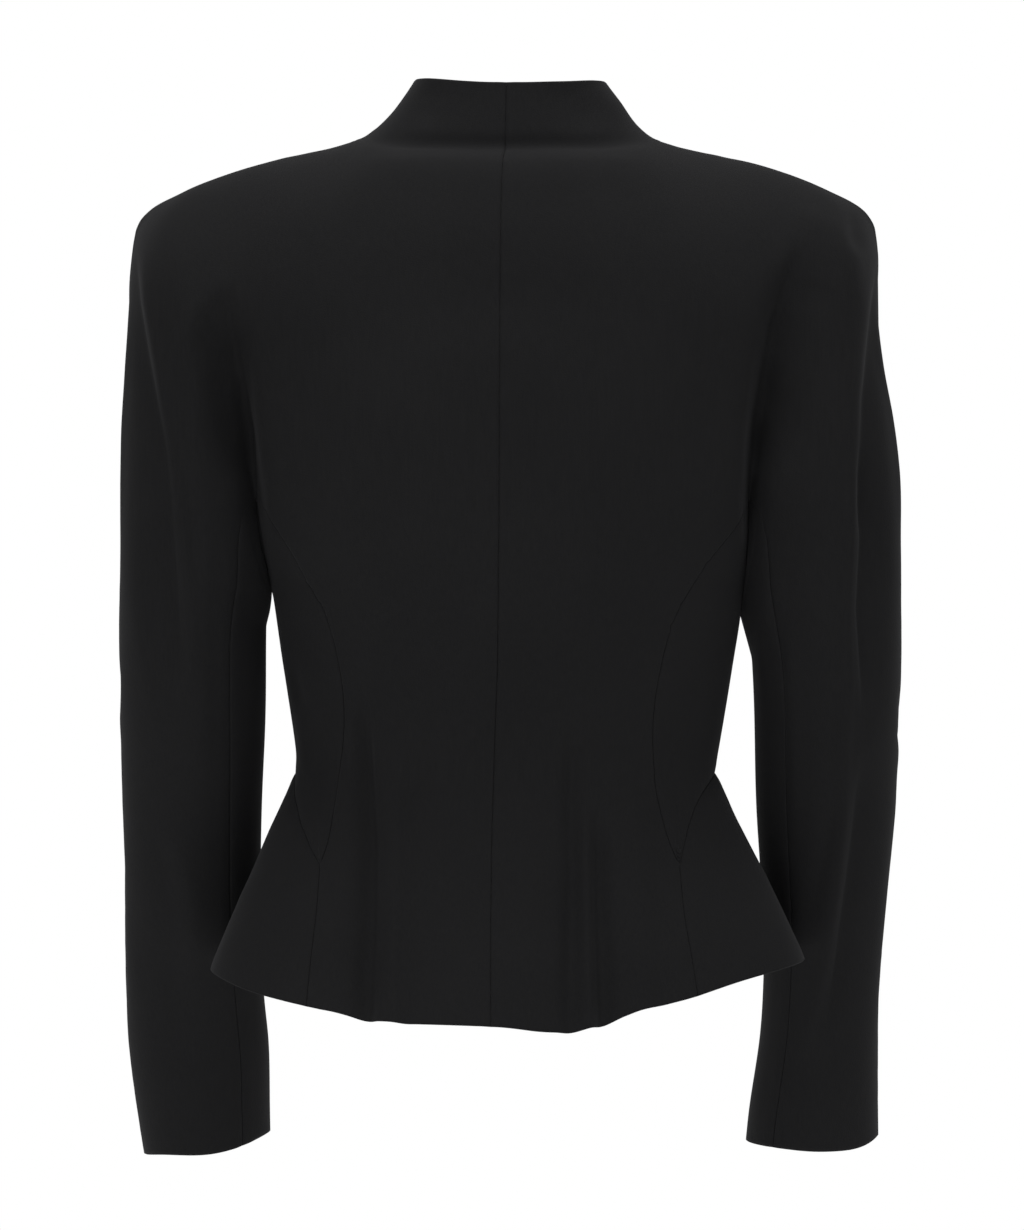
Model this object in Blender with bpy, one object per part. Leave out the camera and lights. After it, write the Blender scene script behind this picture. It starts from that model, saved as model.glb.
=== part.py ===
"""Peplum jacket, worn form, hollow: ten cut pieces of wool crepe, 2 mm thick.

The jacket hangs in its own frame: +Z up, the front faces -Y, the wearer's left is +X.
The origin is the middle of the neck at the level of the nape.
Every outer point comes from one surface, y = f(face, x, z), which the section tables
below describe in millimetres. A seam is a line x(z) on that surface.
"""
import math

import bmesh
import bpy
import numpy as np
from mathutils import Vector

# Driving dimensions, in millimetres
CLOTH = 2.0
SEAM_GAP = 0.3
FRONT_GAP = 0.6
YOKE_Z = -95.0
CROTCH_Z = -205.0
UNDERARM_Z = -255.0
WAIST_Z = -368.0
GODET_Z = -424.0
HEM_Z = -479.0
CUFF_Z = -611.0
NECK_HALF = 92.0
COLLAR_HALF = (58.0, 60.5)
SHOULDER_Y = -3.0
MM = 0.001

# Bends: powers of the curves at the shoulder and up the collar
YOKE_ACROSS = 0.85
YOKE_OUT = 1.2
COLLAR_LEAN = 1.3
COLLAR_RISE = 1.12

# Mesh counts: columns across a piece, rows down a stretch
BODY_COLS = 10
NECK_COLS = 6
SLEEVE_COLS = 7
SIDE_COLS = 3
UNDER_COLS = 3
GODET_COLS = 4
COLLAR_ROWS = 4
YOKE_ROWS = 5
UPPER_ROWS = 7
ARMHOLE_ROWS = 5
TORSO_ROWS = 8
HIP_ROWS = 4
HEM_ROWS = 5
SLEEVE_ROWS = 17
SAMPLES = 160
SETTLE_STEPS = 12
WELD = 0.02

CREPE_BLACK = (0.012, 0.012, 0.013, 1.0)
CREPE_ROUGHNESS = 0.85
SIDES = (("left", 1.0), ("right", -1.0))

# The crease where sleeve and body meet, down to the underarm:
# z, x left, x right, y behind, y in front, sharpness
CREASE = (
    (-95.0, 160.0, 157.0, 68.0, -66.0, 1.0),
    (-130.0, 157.0, 149.0, 58.0, -57.0, 1.05),
    (-165.0, 154.5, 145.5, 46.0, -49.0, 1.3),
    (-205.0, 150.5, 143.0, 31.0, -38.0, 1.7),
    (-218.0, 149.0, 143.0, 24.5, -32.0, 1.8),
    (-230.0, 147.0, 143.0, 17.0, -26.0, 1.9),
    (-243.0, 145.2, 143.1, 7.5, -16.5, 2.0),
    (-250.0, 144.2, 143.2, 1.5, -10.5, 2.0),
    (-255.0, 143.5, 143.2, -5.0, -5.0, 2.0),
)

# Depth of the body: z, y of the back, y of the front, roundness behind and in front
BODY_DEPTH = (
    (-95.0, 100.0, -92.0, 2.5, 2.5),
    (-130.0, 106.0, -107.0, 2.5, 2.5),
    (-165.0, 108.0, -120.0, 2.4, 2.4),
    (-205.0, 106.0, -131.0, 2.4, 2.3),
    (-230.0, 103.0, -135.0, 2.35, 2.3),
    (-255.0, 99.0, -135.0, 2.3, 2.2),
    (-276.0, 94.0, -131.0, 2.25, 2.2),
    (-300.0, 87.0, -125.0, 2.25, 2.2),
    (-327.0, 79.0, -118.0, 2.2, 2.15),
    (-351.0, 73.5, -113.0, 2.2, 2.1),
    (-368.0, 72.0, -111.0, 2.15, 2.05),
    (-387.0, 76.0, -115.0, 2.05, 1.9),
    (-417.0, 87.0, -123.0, 1.95, 1.75),
    (-447.0, 100.0, -133.0, 1.85, 1.65),
    (-480.0, 114.0, -144.0, 1.8, 1.55),
    (-515.0, 127.0, -154.0, 1.75, 1.5),
)

# The side line of the body below the underarm: z, x left, x right, y
BODY_SIDE = (
    (-255.0, 143.5, 143.2, -5.0),
    (-276.0, 141.0, 142.0, -7.0),
    (-300.0, 138.0, 138.5, -10.0),
    (-327.0, 134.0, 134.5, -13.0),
    (-351.0, 130.0, 130.5, -15.0),
    (-368.0, 128.0, 127.5, -15.0),
    (-387.0, 135.5, 133.0, -8.0),
    (-417.0, 149.5, 148.5, 6.0),
    (-447.0, 162.5, 163.5, 21.0),
    (-480.0, 176.5, 178.5, 35.0),
    (-515.0, 188.0, 191.0, 40.0),
)

# Sleeve sections: z, outer x left, outer x right, y of the middle, half depth behind
# and in front
SLEEVE = (
    (-95.0, 229.0, 225.0, -2.0, 70.0, 66.0),
    (-130.0, 229.2, 226.8, 0.0, 66.0, 64.0),
    (-165.0, 231.2, 232.0, 1.0, 62.0, 62.0),
    (-205.0, 232.0, 235.8, 0.0, 60.0, 60.0),
    (-230.0, 233.0, 236.3, -2.0, 58.0, 58.5),
    (-255.0, 233.5, 237.0, -5.0, 57.0, 57.0),
    (-276.0, 234.2, 237.0, -7.0, 56.0, 56.0),
    (-327.0, 234.7, 237.2, -14.0, 54.0, 53.0),
    (-388.0, 234.6, 236.2, -32.0, 50.0, 49.0),
    (-420.0, 235.5, 234.8, -43.0, 48.0, 46.5),
    (-450.0, 236.3, 233.1, -54.0, 46.0, 45.0),
    (-482.0, 237.2, 231.6, -66.0, 44.0, 43.0),
    (-513.0, 236.8, 229.9, -75.0, 43.0, 42.0),
    (-545.0, 235.0, 229.4, -82.5, 42.0, 41.5),
    (-577.0, 231.3, 230.0, -89.0, 42.0, 41.5),
    (-615.0, 226.0, 231.0, -96.0, 42.0, 42.0),
)

# The inner line of the sleeve below the underarm: z, x left, x right
SLEEVE_INNER = (
    (-255.0, 143.5, 143.2),
    (-276.0, 144.8, 144.6),
    (-327.0, 145.5, 148.0),
    (-388.0, 148.8, 150.0),
    (-420.0, 150.2, 152.6),
    (-450.0, 151.0, 155.0),
    (-482.0, 151.0, 157.0),
    (-513.0, 150.0, 156.6),
    (-545.0, 147.0, 154.6),
    (-577.0, 147.4, 149.4),
    (-615.0, 147.3, 146.0),
)

# The shoulder ridge: x, z on the left, z on the right
SHOULDER = (
    (92.0, 10.0, 9.6),
    (101.0, 6.0, 6.0),
    (113.0, 3.6, 3.4),
    (137.0, -1.8, -2.0),
    (161.0, -9.0, -8.6),
    (185.0, -20.0, -19.4),
    (209.0, -29.3, -28.9),
    (219.0, -35.0, -36.0),
)

# The foot and the top edge of the collar on the middle line: y, z, how late it lifts
NECK_FOOT = {"back": (58.0, -3.0, 3.0), "front": (-90.0, -62.0, 1.4)}
COLLAR_TOP = {"back": (48.0, 38.0, 2.0), "front": (-88.0, -47.0, 1.5)}
COLLAR_SIDE_Z = (46.0, 43.8)

# The seam down the middle of the back: z, x
BACK_SEAM = (
    (45.0, 1.2), (-3.0, 1.8), (-57.0, 2.8), (-87.0, 4.5), (-207.0, 5.1), (-291.0, 5.7),
    (-363.0, 8.1), (-417.0, 9.7), (-520.0, 10.2),
)

# The seam between back and side panel: z, x left, x right
SIDE_SEAM = (
    (-205.0, 150.5, 143.0),
    (-220.0, 139.0, 136.0),
    (-250.0, 121.0, 112.0),
    (-272.0, 107.0, 99.0),
    (-290.0, 100.0, 91.0),
    (-330.0, 94.0, 82.8),
    (-350.0, 95.3, 82.2),
    (-372.0, 98.5, 85.0),
    (-398.0, 104.0, 92.5),
    (-424.0, 109.5, 100.0),
)

# The seam of the hip godet, from the side of the waist to the hem: z, x left, x right
GODET_SEAM = (
    (-368.0, 128.0, 127.5),
    (-384.0, 129.0, 112.5),
    (-397.0, 124.0, 105.5),
    (-411.0, 116.0, 101.0),
    (-424.0, 109.5, 100.0),
    (-445.0, 110.0, 99.4),
    (-461.0, 111.0, 102.5),
    (-476.0, 113.2, 105.0),
    (-515.0, 115.0, 110.0),
)

# The seams of the under sleeve, measured across from its inner line: z, left, right
UNDER_SEAM = (
    (-205.0, 0.0, 0.0),
    (-218.0, 9.5, 8.5),
    (-235.0, 15.5, 13.0),
    (-255.0, 18.5, 15.5),
    (-315.0, 19.0, 16.0),
    (-405.0, 16.5, 15.5),
    (-615.0, 15.0, 14.5),
)

# The hem: share of the way from the middle to the side line, z left, z right
HEM_BACK = (
    (0.0, -511.5, -511.5), (0.11, -510.8, -514.0), (0.23, -510.2, -513.0),
    (0.3, -509.8, -510.5), (0.37, -509.0, -505.5), (0.49, -506.5, -500.5),
    (0.62, -503.0, -496.0), (0.76, -498.5, -488.0), (0.87, -494.5, -484.0),
    (1.0, -485.5, -479.5),
)
HEM_FRONT = (
    (0.0, -500.0, -500.0), (0.35, -499.0, -498.0), (0.7, -494.0, -491.0),
    (1.0, -485.5, -479.5),
)

# The cuff: share of the way out from the inner line, z left, z right
CUFF = (
    (0.0, -596.5, -602.5), (0.25, -603.5, -603.5), (0.45, -607.0, -605.0),
    (0.8, -607.5, -604.5), (1.0, -610.5, -598.0),
)

# Large soft folds: face, side, z top, x top, z foot, x foot, half width, depth inward.
# One that runs out at the hem has its foot below it.
FOLDS = (
    ("back", "left", -366.0, 84.0, -590.0, 81.0, 15.0, 4.5),
    ("back", "left", -380.0, 58.0, -590.0, 55.0, 13.0, 2.0),
    ("back", "right", -374.0, 34.0, -590.0, 32.5, 13.0, 4.5),
    ("back", "right", -408.0, 60.0, -590.0, 55.0, 12.0, 5.5),
    ("front", "left", -380.0, 62.0, -590.0, 59.0, 17.0, 4.5),
    ("front", "right", -378.0, 70.0, -590.0, 64.0, 17.0, 4.5),
    ("back", "left", -40.0, 217.0, -330.0, 202.0, 9.0, 5.0),
    ("back", "right", -40.0, 215.0, -330.0, 217.0, 9.0, 4.5),
    ("back", "right", -350.0, 220.0, -540.0, 203.0, 10.0, 5.0),
    ("front", "left", -60.0, 212.0, -300.0, 202.0, 11.0, 4.0),
    ("front", "right", -60.0, 210.0, -300.0, 203.0, 11.0, 4.0),
)
FOLD_FADE = 70.0
FOLD_WRAP = 0.05

# How walls meet: cosines between two directions, and the longest mitred step
CREASE_DOT = 0.3
STEEPEST_DOT = 0.5
STRAIGHT_DOT = 0.98
SAME_DOT = 0.999
MITRE_LIMIT = 1.5


def table_at(rows, key, column):
    """Value of one column at a key, on a smooth curve through the rows."""
    if rows[0][0] > rows[-1][0]:
        rows = rows[::-1]
    keys = [row[0] for row in rows]
    values = [row[column] for row in rows]
    key = min(max(key, keys[0]), keys[-1])
    i = min(max(int(np.searchsorted(keys, key)) - 1, 0), len(keys) - 2)
    span = keys[i + 1] - keys[i]
    t = (key - keys[i]) / span
    chord = (values[i + 1] - values[i]) / span
    before = chord
    after = chord
    if i > 0:
        before = limited_slope((values[i] - values[i - 1]) / (keys[i] - keys[i - 1]), chord)
    if i < len(keys) - 2:
        after = limited_slope(chord, (values[i + 2] - values[i + 1]) / (keys[i + 2] - keys[i + 1]))
    smooth = t * t * (3.0 - 2.0 * t)
    ease_in = t * (1.0 - t) ** 2
    ease_out = -t * t * (1.0 - t)
    rise = values[i + 1] - values[i]
    return values[i] + rise * smooth + span * (before * ease_in + after * ease_out)


def limited_slope(left, right):
    """Slope at a row that never makes the curve overshoot its neighbours."""
    if left * right <= 0.0:
        return 0.0
    return 2.0 * left * right / (left + right)


def column_for(side):
    """Column step of a side in the tables that hold left and right."""
    return 0 if side > 0.0 else 1


def half_width(side, z):
    """Distance from the middle to the crease, or to the side line below the underarm."""
    rows = CREASE if z >= UNDERARM_Z else BODY_SIDE
    return table_at(rows, z, 1 + column_for(side))


def sleeve_inner(side, z):
    """Distance from the middle to the crease, or to the sleeve's inner line below it."""
    rows = CREASE if z >= UNDERARM_Z else SLEEVE_INNER
    return table_at(rows, z, 1 + column_for(side))


def sleeve_outer(side, z):
    """Distance from the middle to the seam over the arm."""
    return table_at(SLEEVE, z, 1 + column_for(side))


def body_section(face, side, z):
    """Half width, y at the side, y at the middle, roundness and sharpness at a level."""
    half = half_width(side, z)
    middle = table_at(BODY_DEPTH, z, 1 if face == "back" else 2)
    roundness = table_at(BODY_DEPTH, z, 3 if face == "back" else 4)
    if z < UNDERARM_Z:
        return half, table_at(BODY_SIDE, z, 3), middle, roundness, 2.0
    edge = table_at(CREASE, z, 3 if face == "back" else 4)
    return half, edge, middle, roundness, table_at(CREASE, z, 5)


def body_y(face, side, x, z):
    """Outer surface of the body at a distance x from the middle."""
    half, edge, middle, roundness, sharp = body_section(face, side, z)
    share = min(abs(x) / half, 1.0)
    return edge + (middle - edge) * (1.0 - share ** roundness) ** (1.0 / sharp)


def sleeve_section(face, side, z):
    """Inner x, top x, outer x, y inside, y at the top, y outside and sharpness."""
    inner = sleeve_inner(side, z)
    outer = sleeve_outer(side, z)
    middle = table_at(SLEEVE, z, 3)
    depth = table_at(SLEEVE, z, 4) if face == "back" else -table_at(SLEEVE, z, 5)
    top = 0.5 * (inner + outer)
    if z < UNDERARM_Z:
        return inner, top, outer, middle, middle + depth, middle, 2.0
    crease = table_at(CREASE, z, 3 if face == "back" else 4)
    return inner, top, outer, crease, middle + depth, middle, table_at(CREASE, z, 5)


def sleeve_y(face, side, x, z):
    """Outer surface of the sleeve at a distance x from the middle of the body."""
    inner, top, outer, y_inner, y_top, y_outer, sharp = sleeve_section(face, side, z)
    if x < top:
        share = min((top - x) / (top - inner), 1.0)
        return y_inner + (y_top - y_inner) * (1.0 - share * share) ** (1.0 / sharp)
    share = min((x - top) / (outer - top), 1.0)
    return y_outer + (y_top - y_outer) * math.sqrt(1.0 - share * share)


def even_points(side, face, height, surface, x_start, x_end, count):
    """Points at even steps of arc along one level of a surface, between two x values.

    height is the level, or a function of the distance x that gives the level there.
    """
    turns = np.linspace(0.0, math.pi, SAMPLES)
    xs = x_start + (x_end - x_start) * 0.5 * (1.0 - np.cos(turns))
    points = []
    for x in xs:
        z = height(x) if callable(height) else height
        points.append((side * x, surface(face, side, x, z), z))
    points = np.array(points)
    steps = np.linalg.norm(np.diff(points, axis=0), axis=1)
    along = np.concatenate(([0.0], np.cumsum(steps)))
    wanted = np.linspace(0.0, along[-1], count + 1)
    return [np.array([np.interp(w, along, points[:, i]) for i in range(3)]) for w in wanted]


def middle_x(face, side, z):
    """Distance from the middle plane to the centre seam, counted outwards on a side."""
    if face == "front":
        return 0.0
    return side * table_at(BACK_SEAM, z, 1)


def body_points(face, side, z, x_start, x_end, count):
    """Even points on the body between two distances from the middle."""
    return even_points(side, face, z, body_y, x_start, x_end, count)


def sleeve_points(face, side, z, x_start, x_end, count):
    """Even points on the sleeve between two distances from the middle."""
    return even_points(side, face, z, sleeve_y, x_start, x_end, count)


def levels(top, bottom, count):
    """Levels from top to bottom, both counted."""
    return [top + (bottom - top) * i / count for i in range(count + 1)]


def side_seam_x(side, z):
    """Distance from the middle to the seam between back or front and side panel."""
    return table_at(SIDE_SEAM, z, 1 + column_for(side))


def godet_seam_x(side, z):
    """Distance from the middle to the seam of the hip godet."""
    return table_at(GODET_SEAM, z, 1 + column_for(side))


def under_seam_x(side, z):
    """Distance from the middle to the seam of the under sleeve."""
    return sleeve_inner(side, z) + table_at(UNDER_SEAM, z, 1 + column_for(side))


def hem_z(face, side, x, level):
    """Level of the hem at a distance x from the middle, on a row near a level."""
    rows = HEM_BACK if face == "back" else HEM_FRONT
    if x < 0.0:
        side = -side
    share = min(abs(x) / half_width(side, level), 1.0)
    return table_at(rows, share, 1 + column_for(side))


def cuff_z(side, x, level):
    """Level of the cuff at a distance x from the middle, on a row near a level."""
    inner = sleeve_inner(side, level)
    share = (x - inner) / (sleeve_outer(side, level) - inner)
    return table_at(CUFF, min(max(share, 0.0), 1.0), 1 + column_for(side))


class Toile:
    """The whole outer surface: patches of faces, each with the name of its piece."""

    def __init__(self):
        self.mesh = bmesh.new()
        self.names = []
        self.tag = self.mesh.faces.layers.int.new("piece")

    def patch(self, name, rows, flip):
        """Add a patch of quads from rows of points, all of one length."""
        if name not in self.names:
            self.names.append(name)
        grid = [[self.mesh.verts.new(Vector(point) * MM) for point in row] for row in rows]
        for upper, lower in zip(grid, grid[1:]):
            for i in range(len(upper) - 1):
                corners = [upper[i], lower[i], lower[i + 1], upper[i + 1]]
                if flip:
                    corners.reverse()
                face = self.mesh.faces.new(corners)
                face[self.tag] = self.names.index(name)


def collar_and_yoke(toile, face, side, name, flip):
    """Grown-on collar, then the shoulder down to the yoke line."""
    seam = middle_x(face, side, YOKE_Z)
    bottom = body_points(face, side, YOKE_Z, seam, half_width(side, YOKE_Z), BODY_COLS)
    bottom += sleeve_row(face, side, YOKE_Z, sleeve_inner(side, YOKE_Z))[1:]
    top = [neck_base(face, side, i / NECK_COLS) for i in range(NECK_COLS + 1)]
    tip_x = SHOULDER[-1][0]
    outer_count = len(bottom) - 1 - NECK_COLS
    for i in range(1, outer_count + 1):
        x = NECK_HALF + (tip_x - NECK_HALF) * i / outer_count
        top.append(np.array((side * x, SHOULDER_Y, table_at(SHOULDER, x, 1 + column_for(side)))))
    collar = []
    for step in range(COLLAR_ROWS + 1):
        collar.append([collar_point(face, side, i / NECK_COLS, 1.0 - step / COLLAR_ROWS)
                       for i in range(NECK_COLS + 1)])
    toile.patch(name, collar, flip)
    yoke = []
    for step in range(YOKE_ROWS + 1):
        turn = 0.5 * math.pi * step / YOKE_ROWS
        yoke.append([yoke_point(a, b, turn) for a, b in zip(top, bottom)])
    toile.patch(name, yoke, flip)


def yoke_point(top, bottom, turn):
    """A point on the quarter turn from the shoulder ridge down to the yoke line."""
    across = math.sin(turn) ** YOKE_ACROSS
    out = math.sin(turn) ** YOKE_OUT
    down = math.cos(turn)
    return np.array((
        top[0] + (bottom[0] - top[0]) * across,
        top[1] + (bottom[1] - top[1]) * out,
        bottom[2] + (top[2] - bottom[2]) * down,
    ))


def quarter_turn(share):
    """Shares across and along a quarter round, its columns nearly even across."""
    across = 0.5 * (math.sin(0.5 * math.pi * share) + share)
    return across, math.sqrt(max(1.0 - across * across, 0.0))


def neck_base(face, side, share):
    """The bend line at the foot of the collar, from the middle to the shoulder."""
    across, along = quarter_turn(share)
    seam = middle_x(face, side, 0.0) * (1.0 - share)
    x = seam + NECK_HALF * across * (1.0 - seam / NECK_HALF)
    side_z = SHOULDER[0][1 + column_for(side)]
    middle_y, middle_z, lift = NECK_FOOT[face]
    y = SHOULDER_Y + (middle_y - SHOULDER_Y) * along
    return np.array((side * x, y, middle_z + (side_z - middle_z) * across ** lift))


def collar_edge(face, side, share):
    """The top edge of the collar, from the middle to the side of the neck."""
    across, along = quarter_turn(share)
    middle_y, middle_z, lift = COLLAR_TOP[face]
    seam = middle_x(face, side, middle_z) * (1.0 - share)
    half = COLLAR_HALF[column_for(side)]
    x = seam + half * across * (1.0 - seam / half)
    side_z = COLLAR_SIDE_Z[column_for(side)]
    y = SHOULDER_Y + (middle_y - SHOULDER_Y) * along
    return np.array((side * x, y, middle_z + (side_z - middle_z) * across ** lift))


def collar_point(face, side, share, rise):
    """A point on the collar: rise is 0 at the bend line and 1 at the top edge."""
    foot = neck_base(face, side, share)
    edge = collar_edge(face, side, share)
    inward = 1.0 - (1.0 - rise) ** COLLAR_LEAN
    upward = rise ** COLLAR_RISE
    return np.array((
        foot[0] + (edge[0] - foot[0]) * inward,
        foot[1] + (edge[1] - foot[1]) * inward,
        foot[2] + (edge[2] - foot[2]) * upward,
    ))


def sleeve_row(face, side, z, x_start):
    """Points of the upper sleeve at a level, from its inner seam to the outer seam."""
    return sleeve_points(face, side, z, x_start, sleeve_outer(side, z), SLEEVE_COLS)


def main_panel(toile, face, side, name, flip):
    """Back or front: body, grown-on collar and half of the upper sleeve in one."""
    collar_and_yoke(toile, face, side, name, flip)
    rows = []
    for z in levels(YOKE_Z, CROTCH_Z, UPPER_ROWS):
        row = body_points(face, side, z, middle_x(face, side, z), half_width(side, z), BODY_COLS)
        rows.append(row + sleeve_row(face, side, z, sleeve_inner(side, z))[1:])
    toile.patch(name, rows, flip)
    body = []
    for z in levels(CROTCH_Z, UNDERARM_Z, ARMHOLE_ROWS):
        body.append(body_row(face, side, z, side_seam_x(side, z)))
    for z in levels(UNDERARM_Z, WAIST_Z, TORSO_ROWS)[1:]:
        body.append(body_row(face, side, z, side_seam_x(side, z)))
    for z in levels(WAIST_Z, GODET_Z, HIP_ROWS)[1:]:
        body.append(body_row(face, side, z, side_seam_x(side, z)))
    for step in range(1, HEM_ROWS + 1):
        share = step / HEM_ROWS
        body.append(hem_row(face, side, share, "panel"))
    toile.patch(name, body, flip)
    sleeve = []
    for z in levels(CROTCH_Z, UNDERARM_Z, ARMHOLE_ROWS):
        sleeve.append(sleeve_row(face, side, z, under_seam_x(side, z)))
    for step in range(1, SLEEVE_ROWS + 1):
        sleeve.append(cuff_row(face, side, step / SLEEVE_ROWS, "panel"))
    toile.patch(name, sleeve, flip)


def body_row(face, side, z, x_end):
    """Points of a back or front at a level, from the centre seam to x_end."""
    return body_points(face, side, z, middle_x(face, side, z), x_end, BODY_COLS)


def settled_x(edge_x, side, height, level):
    """Where a slanting row meets an edge line: the x that its own level gives."""
    x = edge_x(side, level)
    for _ in range(SETTLE_STEPS):
        x = edge_x(side, height(x))
    return x


def hem_row(face, side, share, part):
    """A row between the godet's widest level and the hem, which isn't level."""
    level = GODET_Z + (HEM_Z - GODET_Z) * share

    def height(x):
        return GODET_Z + (hem_z(face, side, x, level) - GODET_Z) * share

    seam_x = settled_x(godet_seam_x, side, height, level)
    if part == "panel":
        start = middle_x(face, side, level)
        return even_points(side, face, height, body_y, start, seam_x, BODY_COLS)
    end = settled_x(half_width, side, height, level)
    return even_points(side, face, height, body_y, seam_x, end, GODET_COLS)


def cuff_row(face, side, share, part):
    """A row between the underarm and the cuff, whose edge isn't level."""
    level = UNDERARM_Z + (CUFF_Z - UNDERARM_Z) * share

    def height(x):
        return UNDERARM_Z + (cuff_z(side, x, level) - UNDERARM_Z) * share

    seam_x = settled_x(under_seam_x, side, height, level)
    if part == "panel":
        end = settled_x(sleeve_outer, side, height, level)
        return even_points(side, face, height, sleeve_y, seam_x, end, SLEEVE_COLS)
    start = settled_x(sleeve_inner, side, height, level)
    return even_points(side, face, height, sleeve_y, start, seam_x, UNDER_COLS)


def side_panel(toile, face, side, name, flip):
    """Half of the panel under the arm, split below the waist by the godet."""
    rows = []
    for z in levels(CROTCH_Z, UNDERARM_Z, ARMHOLE_ROWS):
        rows.append(body_points(face, side, z, side_seam_x(side, z), half_width(side, z), SIDE_COLS))
    for z in levels(UNDERARM_Z, WAIST_Z, TORSO_ROWS)[1:]:
        rows.append(body_points(face, side, z, side_seam_x(side, z), half_width(side, z), SIDE_COLS))
    for z in levels(WAIST_Z, GODET_Z, HIP_ROWS)[1:]:
        rows.append(body_points(face, side, z, side_seam_x(side, z), godet_seam_x(side, z), SIDE_COLS))
    toile.patch(name, rows, flip)


def hip_godet(toile, face, side, name, flip):
    """Half of the flared gore at the hip, from its point at the waist to the hem."""
    rows = []
    for z in levels(WAIST_Z, GODET_Z, HIP_ROWS):
        rows.append(body_points(face, side, z, godet_seam_x(side, z), half_width(side, z), GODET_COLS))
    for step in range(1, HEM_ROWS + 1):
        rows.append(hem_row(face, side, step / HEM_ROWS, "godet"))
    toile.patch(name, rows, flip)


def under_sleeve(toile, face, side, name, flip):
    """Half of the under part of the sleeve."""
    rows = []
    for z in levels(CROTCH_Z, UNDERARM_Z, ARMHOLE_ROWS):
        rows.append(sleeve_points(face, side, z, sleeve_inner(side, z), under_seam_x(side, z), UNDER_COLS))
    for step in range(1, SLEEVE_ROWS + 1):
        rows.append(cuff_row(face, side, step / SLEEVE_ROWS, "under"))
    toile.patch(name, rows, flip)


def build_toile():
    """The whole outer surface, welded, with its large folds pushed in."""
    toile = Toile()
    for side_name, side in SIDES:
        for face in ("back", "front"):
            flip = (face == "back") == (side > 0.0)
            main_panel(toile, face, side, face + "_" + side_name, flip)
            side_panel(toile, face, side, "side_panel_" + side_name, flip)
            hip_godet(toile, face, side, "hip_godet_" + side_name, flip)
            under_sleeve(toile, face, side, "under_sleeve_" + side_name, flip)
    bmesh.ops.remove_doubles(toile.mesh, verts=toile.mesh.verts[:], dist=WELD * MM)
    bmesh.ops.dissolve_degenerate(toile.mesh, edges=toile.mesh.edges[:], dist=WELD * MM)
    toile.mesh.verts.index_update()
    toile.mesh.normal_update()
    press_folds(toile.mesh)
    toile.mesh.normal_update()
    return toile


def press_folds(mesh):
    """Push the outer points in along the large folds."""
    moves = []
    for vert in mesh.verts:
        push = sum(fold_depth(vert, *fold) for fold in FOLDS)
        moves.append(vert.normal * (-push * MM))
    for vert, move in zip(mesh.verts, moves):
        vert.co += move


def fold_depth(vert, face, side, z_top, x_top, z_foot, x_foot, width, depth):
    """Depth of one fold at an outer point: none off its face, its side or its length."""
    z = vert.co.z / MM
    x = vert.co.x / MM if side == "left" else -vert.co.x / MM
    facing = vert.normal.y if face == "back" else -vert.normal.y
    if x <= 0.0 or facing < -FOLD_WRAP or not z_foot < z < z_top:
        return 0.0
    centre = x_top + (x_foot - x_top) * (z_top - z) / (z_top - z_foot)
    reach = (x - centre) / width
    fade = min((z_top - z) / FOLD_FADE, (z - z_foot) / FOLD_FADE, 1.0)
    return depth * fade * math.exp(-reach * reach)


def edge_gap(edge):
    """Half the gap that a cut edge keeps: at a seam, at the centre front, or none."""
    if len(edge.link_faces) > 1:
        return 0.5 * SEAM_GAP * MM
    if all(abs(vert.co.x) < SEAM_GAP * MM and vert.co.y < 0.0 for vert in edge.verts):
        return 0.5 * FRONT_GAP * MM
    return 0.0


def seam_shift(vert, normal, faces):
    """Mitred step from a point on a piece's edge into the piece, along the cloth."""
    steps = []
    for edge in vert.link_edges:
        inside = [face for face in edge.link_faces if face in faces]
        if len(inside) == 1:
            across = normal.cross(edge.other_vert(vert).co - vert.co).normalized()
            if across.dot(inside[0].calc_center_median() - vert.co) < 0.0:
                across.negate()
            steps.append((across, edge_gap(edge)))
    if not steps:
        return Vector((0.0, 0.0, 0.0))
    (first, gap_1), (second, gap_2) = steps[0], steps[-1]
    cosine = first.dot(second)
    if cosine > STRAIGHT_DOT:
        return 0.5 * (first * gap_1 + second * gap_2)
    whole = 1.0 - cosine * cosine
    shift = first * ((gap_1 - cosine * gap_2) / whole) + second * ((gap_2 - cosine * gap_1) / whole)
    if shift.length > MITRE_LIMIT * MM:
        shift.length = MITRE_LIMIT * MM
    return shift


def wall_depth(normal, faces):
    """Wall thickness along a normal, kept even where the cloth is creased."""
    dots = [max(normal.dot(face.normal), STEEPEST_DOT) for face in faces]
    return CLOTH * MM * len(dots) / sum(dots)


def own_normal(vert, tag, index):
    """Mean normal of the faces of one piece around a point."""
    total = Vector((0.0, 0.0, 0.0))
    for face in vert.link_faces:
        if face[tag] == index:
            total += face.normal
    return total.normalized()


def wall_normal(vert, tag, index):
    """Direction of the wall at a point, and the step that parts it from a facing wall.

    The direction is shared at a seam, but two pieces that meet back to back in the
    armhole crease each keep their own. A point in that crease also steps back.
    """
    own = own_normal(vert, tag, index)
    around = sorted({face[tag] for face in vert.link_faces} - {index})
    facing = [other for other in around if own.dot(own_normal(vert, tag, other)) < CREASE_DOT]
    if not facing:
        return vert.normal.copy(), Vector((0.0, 0.0, 0.0))
    step = own * (-0.5 * SEAM_GAP * MM)
    return (own if len(around) == 1 else vert.normal.copy()), step


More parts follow.
